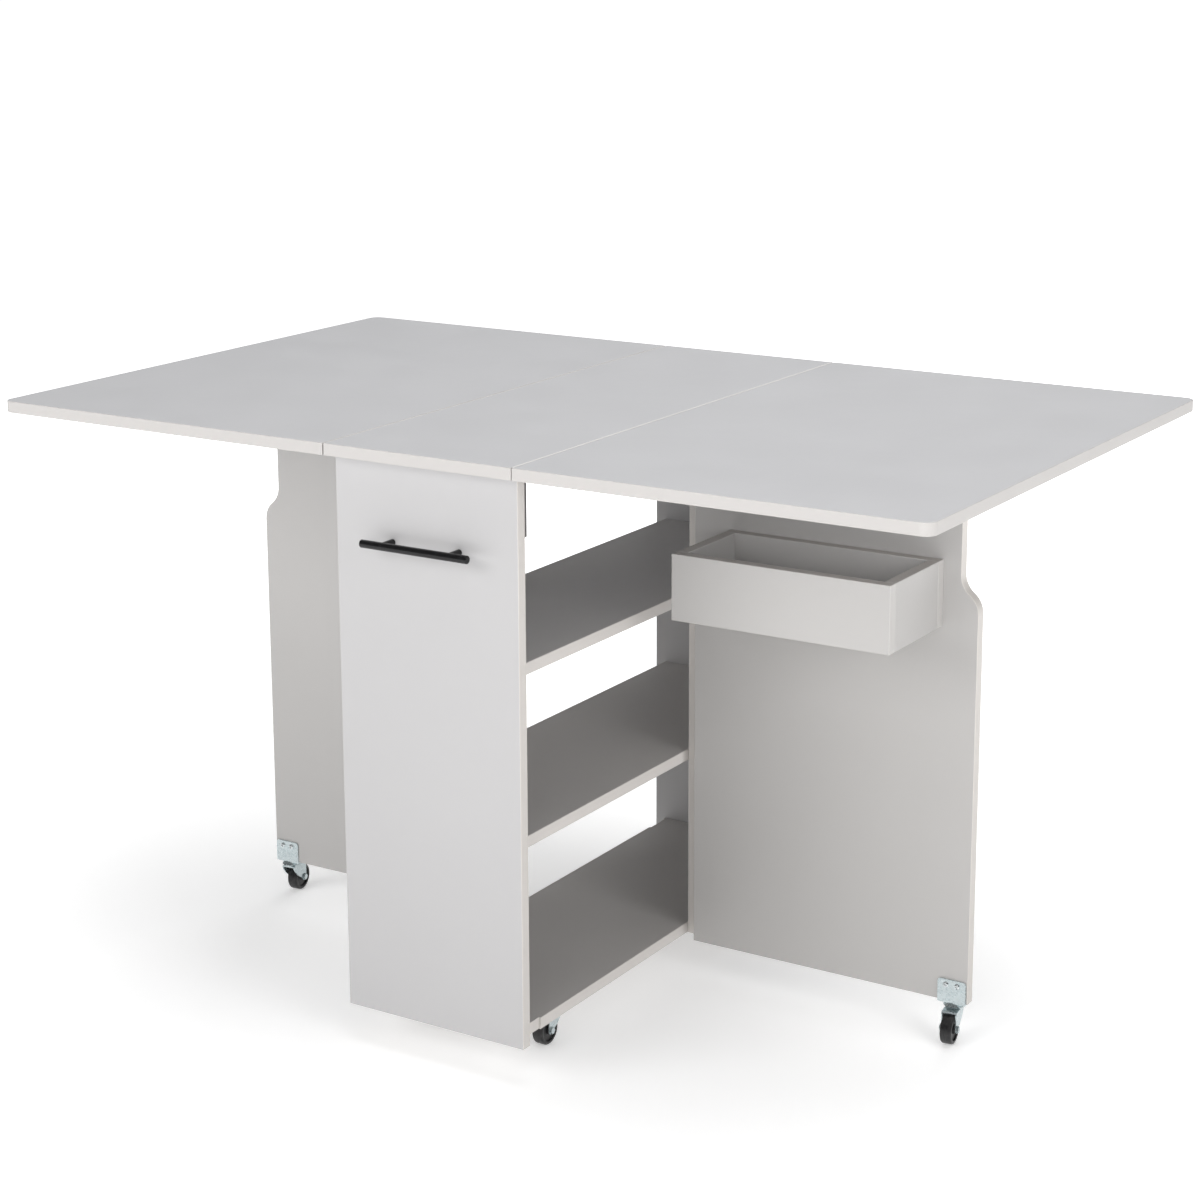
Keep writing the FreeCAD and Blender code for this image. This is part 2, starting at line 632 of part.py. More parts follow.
def castor_bracket():
    """A sheet-steel U round the gate's lower edge, which lies at z = 0, with the upper race."""
    body = new_body("castor_bracket")
    sketch = new_sketch(body, "YZ_Plane")
    inner = v.board / 2 + v.bracket_play
    outer = inner + v.plate_sheet
    base = -v.plate_sheet
    high = base + v.bracket_height
    corners = [(-outer, base), (outer, base), (outer, high), (inner, high), (inner, 0),
               (-inner, 0), (-inner, high), (-outer, high)]
    add_outline(sketch, [line(a, b) for a, b in zip(corners, corners[1:] + corners[:1])])
    pad(body, sketch, "plate_side", middle=True)
    across = runs_along(Vector(0, 1, 0))
    dress(body, "PartDesign::Fillet",
          lambda e: across(e) and e.Length < 2 * v.plate_sheet and e.Vertexes[0].Z > high / 2,
          "Radius", "plate_corner")
    add_race(body, base - fixed_race_height(), fixed_race_height(), True)
    bore = new_sketch(body, "XY_Plane")
    add_circle(bore, 0, 0, v.kingpin_size / 2, "kingpin_size / 2")
    pocket(body, bore)
    holes = new_sketch(body, "XZ_Plane")
    for x, z in bracket_screws():
        add_circle(holes, x - gate_castor_x, z - foot, v.plate_hole / 2, "plate_hole / 2")
    pocket(body, holes, middle=True)
    return body.Shape


def wood_screw():
    """A pan-head screw along +Z: its head sits on the plate's face at z = 0."""
    head = Part.makeCylinder(v.screw_head / 2, v.screw_head_height)
    reach = v.plate_sheet + v.bracket_play + v.screw_length
    shank = Part.makeCylinder(v.screw_shank / 2, reach, Vector(0, 0, -reach))
    return head.fuse(shank).removeSplitter()


def fork():
    """A pressed-steel fork: the swivel axis is Z, the floor z = 0 and the wheel trails to -Y."""
    body = new_body("fork")
    crown, end, bevel = v.fork_crown, v.fork_end, v.fork_corner
    axle = Vector(-v.trail, v.wheel_radius)
    tail, nose = -v.trail - end, v.fork_nose
    brow = Vector(nose, crown - 2 * v.fork_sheet)
    cheek = axle + Vector(end, 0)
    chord = brow - cheek
    swell = (brow + cheek) / 2 + Vector(chord.y, -chord.x).normalize() * v.fork_bulge
    side = new_sketch(body, "YZ_Plane")
    add_outline(side, [
        line((nose, crown), (tail + bevel, crown)),
        line((tail + bevel, crown), (tail, crown - bevel)),
        line((tail, crown - bevel), (tail, axle.y)),
        Part.Arc(Vector(tail, axle.y), axle + Vector(0, -end), cheek),
        Part.Arc(cheek, swell, brow),
        line((brow.x, brow.y), (nose, crown)),
    ])
    pad(body, side, "hub_width + 2 * ( fork_play + fork_sheet )", middle=True)
    inner = v.hub_width / 2 + v.fork_play
    channel = new_sketch(body, "XZ_Plane")
    add_rectangle(channel, -inner, 0, 2 * inner, crown - v.fork_sheet,
                  "hub_width + 2 * fork_play", "fork_crown - fork_sheet")
    pocket(body, channel, middle=True)
    add_race(body, crown, v.race_height, False)
    bore = new_sketch(body, "XY_Plane")
    radius = v.kingpin_size / 2 + v.running_play
    add_circle(bore, 0, 0, radius, "kingpin_size / 2 + running_play")
    pocket(body, bore, reverse=True)
    eye = new_sketch(body, "YZ_Plane")
    add_circle(eye, axle.x, axle.y, v.axle_size / 2, "axle_size / 2")
    pocket(body, eye, middle=True)
    return body.Shape


def axle_bolt():
    """The wheel's axle along X, with a hexagonal head and nut outside the fork."""
    half = v.hub_width / 2 + v.fork_play + v.fork_sheet
    shank = Part.makeCylinder(v.axle_size / 2, 2 * half, Vector(-half, 0, 0), Vector(1, 0, 0))
    for start in (half, -half - v.axle_head_height):
        ring = [Vector(start, v.axle_head / 2 * math.cos(n * math.pi / 3),
                       v.axle_head / 2 * math.sin(n * math.pi / 3)) for n in range(7)]
        head = Part.Face(Part.makePolygon(ring)).extrude(Vector(v.axle_head_height, 0, 0))
        shank = shank.fuse(head)
    return shank.removeSplitter()


def wheel():
    """A moulded wheel on the X axis: bevelled shoulders, a raised ring round each side and a hub
    that stands out past it.
    """
    body = new_body("wheel")
    half, rim, hub = v.wheel_width / 2, v.wheel_radius, v.hub_radius
    edge = rim - v.wheel_shoulder
    web = half - v.dish_depth
    bore = v.axle_size / 2 + v.running_play
    right = [(v.hub_width / 2, bore), (v.hub_width / 2, hub), (web, hub), (web, edge - v.wheel_ring),
             (half, edge - v.wheel_ring), (half, edge), (half - v.wheel_shoulder, rim)]
    corners = right + [(-x, y) for x, y in reversed(right)]
    section = new_sketch(body, "XY_Plane")
    add_outline(section, [line(a, b) for a, b in zip(corners, corners[1:] + corners[:1])])
    spin = body.newObject("PartDesign::Revolution", "Revolution")
    spin.Profile = section
    spin.ReferenceAxis = (own_axis(body, "X_Axis"), [""])
    spin.Angle = 360
    doc.recompute()
    return body.Shape


def castors(swivels):
    """A fork, an axle and a wheel for each castor: name, swivel axis and trailing direction."""
    shapes = {"fork": fork(), "axle": axle_bolt(), "wheel": wheel()}
    for name, place in swivels:
        hub = place * at(y=-v.trail, z=v.wheel_radius)
        for piece, shape in shapes.items():
            seat = place if piece == "fork" else hub
            group(f"{name}_castor_{piece}", shape, [seat])


# ---------------------------------------------------------------- towel bar
def towel_bar():
    """A round bar on two posts across the near end panel, bolted from inside."""
    y = -end_face - v.bar_offset
    body = new_body("towel_bar")
    sketch = new_sketch(body, "YZ_Plane")
    add_circle(sketch, 0, 0, v.bar_diameter / 2, "bar_diameter / 2")
    pad(body, sketch, "bar_length", middle=True)
    ease_edges(body, lambda e: e.Closed)
    keep(body, "towel_bar", at(0, y, bar_height))
    doc.recompute()
    bar = Part.makeCylinder(v.bar_diameter / 2, v.bar_length, Vector(-v.bar_length / 2, y, bar_height),
                            Vector(1, 0, 0))
    out = Vector(0, 1, 0)
    posts, bolts = [], []
    thread = v.bar_offset - v.bar_diameter / 2 - v.bolt_head_height
    for side in (-1, 1):
        x = side * v.post_spacing / 2
        post = Part.makeCylinder(v.post_diameter / 2, v.bar_offset, Vector(x, y, bar_height), out)
        tap = Part.makeCylinder(v.bar_bolt / 2, thread, Vector(x, -end_face, bar_height), -out)
        posts.append(post.cut(bar).cut(tap))
        shank = Part.makeCylinder(v.bar_bolt / 2, v.board + thread, Vector(x, -end_inner, bar_height), -out)
        head = Part.makeCylinder(v.bolt_head / 2, v.bolt_head_height, Vector(x, -end_inner, bar_height), out)
        bolts.append(shank.fuse(head).removeSplitter())
    for label, solids in (("towel_bar_posts", posts), ("towel_bar_bolts", bolts)):
        thing = doc.addObject("Part::Feature", label)
        thing.Shape = Part.makeCompound(solids)
        keep(thing, label)


# ---------------------------------------------------------------- the whole table
def build():
    trolley()
    shelf_pins()
    top_brackets()
    fixed_top()
    towel_bar()
    leaf("right_leaf", at())
    leaf("left_leaf", HALF_TURN)
    top_hinges_all()
    gate_hinges_all()
    bracket, rivet, screw = castor_bracket(), kingpin(), wood_screw()
    setbacks = {"right": v.right_box_setback, "left": v.left_box_setback}
    for side, turn in (("right", at()), ("left", HALF_TURN)):
        gate_panel(f"{side}_gate_panel", turn)
        storage_box(side, setbacks[side], turn)
        glide(side, turn)
        seat = turn * at(gate_castor_x, gate_castor_y, foot)
        thing = doc.addObject("Part::Feature", "bracket")
        thing.Shape = Part.makeCompound([s.transformed(seat.toMatrix()) for s in (bracket, rivet)])
        keep(thing, f"{side}_gate_castor_bracket")
        group(f"{side}_bracket_screws", screw, [turn * p for p in bracket_screw_places()])
    across, along = side_inner - v.castor_side_inset, end_inner - v.castor_end_inset
    corners = [(x * across, y * along) for y in (-1, 1) for x in (1, -1)]
    group("castor_plates", castor_plate(), [at(x, y, foot) for x, y in corners])
    group("castor_kingpins", rivet, [at(x, y, foot) for x, y in corners])
    names = ("near_right", "near_left", "far_right", "far_left")
    swivels = [(name, at(x, y)) for name, (x, y) in zip(names, corners)]
    gate_swivel = at(gate_castor_x, gate_castor_y, angle=v.gate_castor_turn)
    swivels += [("right_gate", gate_swivel), ("left_gate", HALF_TURN * gate_swivel)]
    castors(swivels)


def check_and_write():
    """Every object must be sound before any file is written."""
    doc.recompute()
    for thing in doc.Objects:
        if {"Invalid", "Error"} & set(thing.State):
            raise RuntimeError(f"{thing.Label}: {thing.State}")
    for thing in parts:
        if thing.Shape.isNull() or not thing.Shape.isValid() or not thing.Shape.Solids:
            raise RuntimeError(f"{thing.Label}: no sound shape")
    os.makedirs("parts", exist_ok=True)
    for thing in parts:
        thing.Shape.exportStep(f"parts/{thing.Label}.step")
    print(len(parts), "sub-parts written")


build()
check_and_write()
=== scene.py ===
# %% [markdown]
# # A folding drop-leaf table on a castored trolley
# The table is flat-pack furniture: 15 mm boards with a light edge band, zinc hinges and
# castors, and one black towel bar. The frame below brings every board and fitting in at its
# real size, so this file gives them their finishes and adds what is too small for the frame:
# cross-recess screws, moulded wheels and a rounded towel bar.

# %% Load the frame
import json
import math

import bmesh
import bpy
from mathutils import Matrix, Vector


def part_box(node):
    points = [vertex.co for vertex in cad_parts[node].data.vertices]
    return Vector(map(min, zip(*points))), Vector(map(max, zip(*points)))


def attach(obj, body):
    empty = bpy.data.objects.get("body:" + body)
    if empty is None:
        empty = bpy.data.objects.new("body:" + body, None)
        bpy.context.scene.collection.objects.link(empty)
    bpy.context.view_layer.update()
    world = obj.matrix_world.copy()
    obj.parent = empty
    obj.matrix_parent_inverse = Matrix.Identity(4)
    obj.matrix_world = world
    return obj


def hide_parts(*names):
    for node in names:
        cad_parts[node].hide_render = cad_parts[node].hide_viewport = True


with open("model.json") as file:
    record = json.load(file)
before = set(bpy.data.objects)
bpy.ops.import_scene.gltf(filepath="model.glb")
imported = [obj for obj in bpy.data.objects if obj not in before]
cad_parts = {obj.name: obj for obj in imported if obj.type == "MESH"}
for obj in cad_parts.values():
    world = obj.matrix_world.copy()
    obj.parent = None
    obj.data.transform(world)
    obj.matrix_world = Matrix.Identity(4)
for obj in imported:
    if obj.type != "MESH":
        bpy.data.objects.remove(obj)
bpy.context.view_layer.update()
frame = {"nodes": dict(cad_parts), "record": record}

MM = 0.001

# %% [markdown]
# ## The camera
# The picture is taken from the front right corner, a little above the top, with a long lens.
# A camera is easiest to read as a place, a direction and a focal length. The direction is
# built from three turns: round to the left, down, and a hair of roll. The small shift lets
# the camera look down less steeply, which keeps the uprights nearly parallel.

# %% Camera
LENS_MM, SENSOR_MM = 77.80, 36
LENS_SHIFT = -0.1
CAMERA_PLACE = Vector((1.7422, -2.7762, 1.3984))
CAMERA_TURN, CAMERA_DIP, CAMERA_ROLL = -0.5597, 0.2205, -0.0039


def add_camera():
    data = bpy.data.cameras.new("photo_view")
    data.lens = LENS_MM
    data.sensor_width = SENSOR_MM
    data.shift_y = LENS_SHIFT
    camera = bpy.data.objects.new("photo_view", data)
    bpy.context.scene.collection.objects.link(camera)
    ahead = Vector((math.sin(CAMERA_TURN) * math.cos(CAMERA_DIP),
                    math.cos(CAMERA_TURN) * math.cos(CAMERA_DIP),
                    -math.sin(CAMERA_DIP)))
    look = ahead.to_track_quat("-Z", "Y")
    camera.rotation_mode = "QUATERNION"
    camera.rotation_quaternion = look @ Matrix.Rotation(CAMERA_ROLL, 3, "Z").to_quaternion()
    camera.location = CAMERA_PLACE
    bpy.context.scene.camera = camera


add_camera()
print("lens", LENS_MM, "mm at", round(CAMERA_PLACE.length, 2), "m")

# %% [markdown]
# ## Helpers for materials
# Every material below is a small tree of nodes. A few helpers keep the trees readable: most
# add one node, feed it with links or plain values, and give back the socket of its result.

# %% Node helpers
MIX_AMOUNT, MIX_FIRST, MIX_SECOND, MIX_RESULT = 0, 6, 7, 2  # sockets of a colour mix


def feed(tree, socket, given):
    """Links a socket to another one, or sets it to a plain value."""
    if isinstance(given, bpy.types.NodeSocket):
        tree.links.new(given, socket)
    else:
        socket.default_value = given


def calculate(tree, operation, *values):
    """The result of a math node."""
    node = tree.nodes.new("ShaderNodeMath")
    node.operation = operation
    for socket, given in zip(node.inputs, values):
        feed(tree, socket, given)
    return node.outputs[0]


def ramp(tree, value, span, result=(0, 1)):
    """Maps a span of values to a span of results with a soft step."""
    node = tree.nodes.new("ShaderNodeMapRange")
    node.interpolation_type = "SMOOTHSTEP"
    for label, number in zip(("From Min", "From Max", "To Min", "To Max"), (*span, *result)):
        node.inputs[label].default_value = number
    tree.links.new(value, node.inputs["Value"])
    return node.outputs["Result"]


def noise(tree, place, scale, detail, roughness=0.5):
    """A cloudy pattern in space between 0 and 1."""
    node = tree.nodes.new("ShaderNodeTexNoise")
    node.inputs["Detail"].default_value = detail
    node.inputs["Roughness"].default_value = roughness
    feed(tree, node.inputs["Scale"], scale)
    tree.links.new(place, node.inputs["Vector"])
    return node.outputs["Fac"]


def mix_colour(tree, amount, first, second):
    """A colour mix whose amount and colours are sockets or plain values."""
    node = tree.nodes.new("ShaderNodeMix")
    node.data_type = "RGBA"
    for number, given in ((MIX_AMOUNT, amount), (MIX_FIRST, first), (MIX_SECOND, second)):
        feed(tree, node.inputs[number], given)
    return node.outputs[MIX_RESULT]


def new_material(name):
    material = bpy.data.materials.new(name)
    material.use_nodes = True
    tree = material.node_tree
    return material, tree, tree.nodes["Principled BSDF"]


print("node helpers are ready")

# %% [markdown]
# ## Floor and light
# Product pictures of furniture like this are taken on a white sweep that is lit by itself, so
# that it stays white however little light falls into the object. One big plane does the same
# here: it glows a little near the object and more further out, which lights the upright boards
# softly from all round and leaves the shelves under the top dark. The sky adds very little
# light, but the camera itself sees it white, so that the sweep has no end in any view.
#
# Five area lights shape the form: one in front to the left, a weaker one beside the camera, one
# to the right for the ends of the boxes, a soft one behind, and a large one overhead for the
# top. The low ones aren't seen by glossy rays, because the satin top would mirror them as white
# patches in the views from the other side.

# %% Floor
FLOOR_SIDE = 400.0
FLOOR_DROP = 0.5 * MM
FLOOR_COLOUR, FLOOR_ROUGHNESS = (0.94, 0.94, 0.94, 1), 0.7
GLOW_NEAR, GLOW_FAR = 0.32, 0.94
GLOW_START, GLOW_END = 0.8, 3.4


def floor_material():
    material, tree, shader = new_material("studio_floor")
    shader.inputs["Base Color"].default_value = FLOOR_COLOUR
    shader.inputs["Roughness"].default_value = FLOOR_ROUGHNESS
    place = tree.nodes.new("ShaderNodeTexCoord")
    distance = tree.nodes.new("ShaderNodeVectorMath")
    distance.operation = "LENGTH"
    tree.links.new(place.outputs["Object"], distance.inputs[0])
    glow = ramp(tree, distance.outputs["Value"], (GLOW_START, GLOW_END), (GLOW_NEAR, GLOW_FAR))
    tree.links.new(glow, shader.inputs["Emission Color"])
    shader.inputs["Emission Strength"].default_value = 1.0
    return material


def add_floor():
    bm = bmesh.new()
    bmesh.ops.create_grid(bm, x_segments=1, y_segments=1, size=FLOOR_SIDE / 2)
    mesh = bpy.data.meshes.new("studio_floor")
    bm.to_mesh(mesh)
    bm.free()
    mesh.materials.append(floor_material())
    floor = bpy.data.objects.new("studio_floor", mesh)
    floor.location.z = -FLOOR_DROP
    bpy.context.scene.collection.objects.link(floor)


add_floor()
print("floor glow", GLOW_NEAR, "to", GLOW_FAR)

# %% Lights
SKY_COLOUR = (1.0, 1.0, 1.0, 1)
SKY_STRENGTH, SKY_SEEN = 0.12, 1.0
LIGHT_AIM = Vector((0, 0, 0.4))
LIGHTS = {
    # place, width and height, watts, and whether gloss shows it
    "front_softbox": ((-1.6, -4.2, 2.6), (3.2, 2.2), 92, False),
    "camera_softbox": ((1.5, -4.5, 1.3), (2.0, 1.6), 52, False),
    "right_softbox": ((4.2, -1.6, 1.9), (2.0, 2.0), 67, False),
    "back_softbox": ((-1.2, 4.4, 2.2), (3.0, 2.0), 55, False),
    "top_softbox": ((0.4, 0.4, 4.2), (4.0, 3.0), 127, True),
}


def add_sky():
    world = bpy.data.worlds.new("studio_sky")
    world.use_nodes = True
    tree = world.node_tree
    background = tree.nodes["Background"]
    background.inputs["Color"].default_value = SKY_COLOUR
    path = tree.nodes.new("ShaderNodeLightPath")
    strength = tree.nodes.new("ShaderNodeMapRange")
    strength.inputs["To Min"].default_value = SKY_STRENGTH
    strength.inputs["To Max"].default_value = SKY_SEEN
    tree.links.new(path.outputs["Is Camera Ray"], strength.inputs["Value"])
    tree.links.new(strength.outputs["Result"], background.inputs["Strength"])
    bpy.context.scene.world = world


def add_softbox(name, place, size, watts, in_gloss):
    data = bpy.data.lights.new(name, "AREA")
    data.shape = "RECTANGLE"
    data.size, data.size_y = size
    data.energy = watts
    light = bpy.data.objects.new(name, data)
    light.location = place
    light.visible_glossy = in_gloss
    aim = LIGHT_AIM - Vector(place)
    light.rotation_euler = aim.to_track_quat("-Z", "Y").to_euler()
    bpy.context.scene.collection.objects.link(light)


add_sky()
for name, facts in LIGHTS.items():
    add_softbox(name, *facts)
bpy.context.scene.view_settings.view_transform = "Standard"
print(len(LIGHTS), "softboxes")

# %% [markdown]
# ## Shared finishes
# Five effects are node groups with named sockets, so that any material can use them. The first
# finds the edge band: on a board every face is either one of the two wide sides, whose normal
# runs along the board's thickness, or an edge. The second finds the two seams of the top. The
# others give melamine its fine orange peel, zinc its cloudy crystals, and the black parts the
# faint uneven dust of use.

# %% Group helpers
GROUPS = {}


def new_group(name, inputs, outputs):
    """An empty shader group with labelled inputs and their defaults, and outputs of numbers."""
    group = bpy.data.node_groups.new(name, "ShaderNodeTree")
    for label, default in inputs.items():
        kind = "NodeSocketVector" if isinstance(default, tuple) else "NodeSocketFloat"
        socket = group.interface.new_socket(label, in_out="INPUT", socket_type=kind)
        socket.default_value = default
    for label in outputs:
        group.interface.new_socket(label, in_out="OUTPUT", socket_type="NodeSocketFloat")
    given = group.nodes.new("NodeGroupInput").outputs
    result = group.nodes.new("NodeGroupOutput").inputs
    GROUPS[name] = group
    return group, given, result


def use_group(tree, name, **sockets):
    node = tree.nodes.new("ShaderNodeGroup")
    node.node_tree = GROUPS[name]
    for label, number in sockets.items():
        node.inputs[label.replace("_", " ")].default_value = number
    return node


def object_place(tree):
    """The coordinates of a point in its own object, in metres."""
    return tree.nodes.new("ShaderNodeTexCoord").outputs["Object"]


print("group helpers are ready")

# %% Edge band group
# how far a normal runs along the board's thickness: at an edge below the first number, on a
# wide side above the second
EDGE_BELOW, SIDE_ABOVE = 0.80, 0.97


def build_edge_band():
    """1 on a board's edges and 0 on its two wide sides; Thickness is the board's thin axis."""
    group, given, result = new_group("edge_band", {"Thickness": (0, 0, 1)}, ["Band"])
    place = group.nodes.new("ShaderNodeTexCoord")
    along = group.nodes.new("ShaderNodeVectorMath")
    along.operation = "DOT_PRODUCT"
    group.links.new(place.outputs["Normal"], along.inputs[0])
    group.links.new(given["Thickness"], along.inputs[1])
    size = calculate(group, "ABSOLUTE", along.outputs["Value"])
    group.links.new(ramp(group, size, (EDGE_BELOW, SIDE_ABOVE), (1, 0)), result["Band"])


build_edge_band()
print("edge band where a normal lies less than", EDGE_BELOW, "along the thickness")

# %% Seam group
SEAM_HALF, SEAM_SOFT = 0.0013, 0.0017


def beyond(tree, number, limit):
    """How far a coordinate lies beyond a limit on either side of the middle."""
    return calculate(tree, "SUBTRACT", calculate(tree, "ABSOLUTE", number), limit)


# the line where the top gets its painted highlight along the seams
def build_seam_line():
    """1 on a thin line along the two seams of the top, and 0 everywhere else.

    Seam Place is how far the seams lie from the middle. The line stops at Seam End, before it
    would turn down over the board's end.
    """
    group, given, result = new_group("seam_line", {"Seam Place": 0.13, "Seam End": 0.40}, ["Line"])
    split = group.nodes.new("ShaderNodeSeparateXYZ")
    group.links.new(object_place(group), split.inputs[0])
    across = calculate(group, "ABSOLUTE", beyond(group, split.outputs["X"], given["Seam Place"]))
    line = ramp(group, across, (SEAM_HALF, SEAM_SOFT), (1, 0))
    along = beyond(group, split.outputs["Y"], given["Seam End"])
    inside = ramp(group, along, (-SEAM_HALF, 0), (1, 0))
    group.links.new(calculate(group, "MULTIPLY", line, inside), result["Line"])


build_seam_line()
print("seam line of", round(2 * SEAM_HALF / MM, 1), "mm")

# %% Melamine group
DRIFT_SCALE, SMEAR_SCALE = 2.2, 9.0
DRIFT_SPAN, SMEAR_SPAN = (0.3, 0.7), (0.3, 0.75)
MELAMINE_ROUGHNESS = (0.36, 0.42)


def build_melamine():
    """Fine orange peel, and a very slow drift of tone across a pressed sheet."""
    group, given, result = new_group("melamine_skin", {"Peel Scale": 620.0},
                                     ["Height", "Tone", "Roughness"])
    place = object_place(group)
    peel = noise(group, place, given["Peel Scale"], detail=3, roughness=0.6)
    drift = noise(group, place, DRIFT_SCALE, detail=2)
    smear = noise(group, place, SMEAR_SCALE, detail=4, roughness=0.65)
    group.links.new(peel, result["Height"])
    group.links.new(ramp(group, drift, DRIFT_SPAN), result["Tone"])
    group.links.new(ramp(group, smear, SMEAR_SPAN, MELAMINE_ROUGHNESS), result["Roughness"])


build_melamine()
print("melamine roughness", MELAMINE_ROUGHNESS)

# %% Zinc group
CLOUD_SCALE, GRAIN_SCALE = 95.0, 1500.0
CRYSTAL_SHARE = 0.35
CRYSTAL_SPAN = (0.35, 0.85)
ZINC_ROUGHNESS = (0.19, 0.32)


def build_zinc():
    """Cloudy zinc crystals: patches a few millimetres wide that differ in tone and gloss."""
    group, given, result = new_group("zinc_skin", {"Patch Scale": 260.0},
                                     ["Tone", "Roughness", "Height"])
    place = object_place(group)
    crystals = group.nodes.new("ShaderNodeTexVoronoi")
    group.links.new(given["Patch Scale"], crystals.inputs["Scale"])
    group.links.new(place, crystals.inputs["Vector"])
    cloud = noise(group, place, CLOUD_SCALE, detail=4, roughness=0.6)
    grain = noise(group, place, GRAIN_SCALE, detail=2)
    both = calculate(group, "MULTIPLY_ADD", crystals.outputs["Distance"], CRYSTAL_SHARE, cloud)
    group.links.new(ramp(group, both, CRYSTAL_SPAN), result["Tone"])
    group.links.new(ramp(group, both, CRYSTAL_SPAN, ZINC_ROUGHNESS), result["Roughness"])
    group.links.new(grain, result["Height"])


build_zinc()
print("zinc roughness", ZINC_ROUGHNESS)

# %% Dust group
DUST_SPAN = (0.42, 0.78)


def build_dust():
    """A thin uneven film: 0 where it is clean and up to 1 where it has settled."""
    group, given, result = new_group("dust_film", {"Patch Scale": 40.0}, ["Amount"])
    film = noise(group, object_place(group), given["Patch Scale"], detail=6, roughness=0.7)
    group.links.new(ramp(group, film, DUST_SPAN), result["Amount"])


build_dust()
print("node groups:", ", ".join(GROUPS))

# %% [markdown]
# ## Board materials
# A faced board has two looks: the pressed sheet on its wide sides and a thin band glued to its
# edges, which is lighter on the uprights and shelves and close to the board's own grey on the
# top and the boxes. One material per thin axis does both, with the edge band group choosing
# between them. Each kind of board has three colours: the sheet's darker and lighter tone, and
# the band. Two kinds have one more, and both are painted light: the boxes' rims, which face up
# under the top, are painted darker as shade, and a pale line is painted along the seams of the
# top as a highlight, lighter than the band where the two boards meet.

# %% Sheet colours
SHEETS = {
    "top": ((0.545, 0.545, 0.557, 1), (0.553, 0.553, 0.565, 1), (0.500, 0.483, 0.470, 1)),
    "trolley": ((0.455, 0.449, 0.452, 1), (0.471, 0.465, 0.468, 1), (0.600, 0.572, 0.545, 1)),
    "gate": ((0.432, 0.421, 0.411, 1), (0.448, 0.437, 0.427, 1), (0.600, 0.570, 0.540, 1)),
    "box": ((0.450, 0.439, 0.428, 1), (0.466, 0.455, 0.444, 1), (0.500, 0.485, 0.470, 1)),
    "shelf": ((0.500, 0.484, 0.472, 1), (0.520, 0.504, 0.492, 1), (0.640, 0.610, 0.585, 1)),
}
# painted shade: the boxes' rims face up under the top, and this darker colour stands in for the
# top's shade on them
BOX_RIM_PAINTED_SHADE = (0.350, 0.326, 0.305, 1)
# painted highlight: a pale line along the two seams of the top, lighter than the top's own band,
# standing in for light caught where the edges of the two boards meet
SEAM_PAINTED_HIGHLIGHT = (0.740, 0.726, 0.712, 1)
SEAM_STOP = 4 * MM
BOARD_SPECULAR = 0.45
BOARD_GRAIN = 0.04 * MM
AXES = {"x": (1, 0, 0), "y": (0, 1, 0), "z": (0, 0, 1)}
print(len(SHEETS), "kinds of board")


# %% Board materials
def add_grain(tree, shader, height, depth):
    """Presses a finish's fine texture into its surface, to a depth in metres."""
    bump = tree.nodes.new("ShaderNodeBump")
    bump.inputs["Distance"].default_value = depth
    bump.inputs["Strength"].default_value = 1.0
    tree.links.new(height, bump.inputs["Height"])
    tree.links.new(bump.outputs["Normal"], shader.inputs["Normal"])


def board_material(sheet, axis):
    """The material of one kind of board, for boards that are thin along one axis."""
    material, tree, shader = new_material(f"{sheet}_board_{axis}")
    skin = use_group(tree, "melamine_skin")
    band = use_group(tree, "edge_band", Thickness=AXES[axis])
    dark, light, edge = SHEETS[sheet]
    face = mix_colour(tree, skin.outputs["Tone"], dark, light)
    # painted shade: on a box the edges that face up, its rims, take the darker rim colour, and its
    # upright ends keep the band
    if sheet == "box":
        upright_not_rim_shade = use_group(tree, "edge_band", Thickness=AXES["z"])
        edge = mix_colour(tree, upright_not_rim_shade.outputs["Band"], BOX_RIM_PAINTED_SHADE, edge)
    colour = mix_colour(tree, band.outputs["Band"], face, edge)
    # painted highlight: the seam group lays the pale line along the two seams of the top
    if sheet == "top":
        seam_place, seam_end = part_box("centre_top")[1][:2]
        seam = use_group(tree, "seam_line", Seam_Place=seam_place, Seam_End=seam_end - SEAM_STOP)
        colour = mix_colour(tree, seam.outputs["Line"], colour, SEAM_PAINTED_HIGHLIGHT)
    tree.links.new(colour, shader.inputs["Base Color"])
    tree.links.new(skin.outputs["Roughness"], shader.inputs["Roughness"])
    shader.inputs["Specular IOR Level"].default_value = BOARD_SPECULAR
    add_grain(tree, shader, skin.outputs["Height"], BOARD_GRAIN)
    return material


def dress(node, material):
    """Gives a CAD node its better material."""
    frame["nodes"][node].data.materials.clear()
    frame["nodes"][node].data.materials.append(material)


BOARDS = {
    ("top", "z"): ("centre_top", "right_leaf", "left_leaf"),
    ("trolley", "y"): ("near_end_panel", "far_end_panel"),
    ("trolley", "x"): ("right_side_panel", "left_side_panel"),
    ("gate", "y"): ("right_gate_panel", "left_gate_panel"),
    ("box", "y"): ("right_box_front", "right_box_back", "left_box_front", "left_box_back"),
    ("box", "x"): ("right_box_sides", "left_box_sides"),
    ("box", "z"): ("right_box_floor", "left_box_floor"),
    ("shelf", "z"): ("bottom_shelf", "mid_shelf", "top_shelf"),
}
for (sheet, axis), names in BOARDS.items():
    shared = board_material(sheet, axis)
    for name in names:
        dress(name, shared)
print(sum(len(names) for names in BOARDS.values()), "board nodes finished")

# %% [markdown]
# ## Metal and plastic
# The castors, hinges and brackets are zinc with a cold tint and cloudy crystals, and the screws
# in them are brighter and newer. The towel bar is powder coated black, which shows a fine even
# grain. The wheels are moulded black plastic that picks up pale dust, and the glides are plain
# off-white plastic. Each finish mixes a darker and a lighter tone.

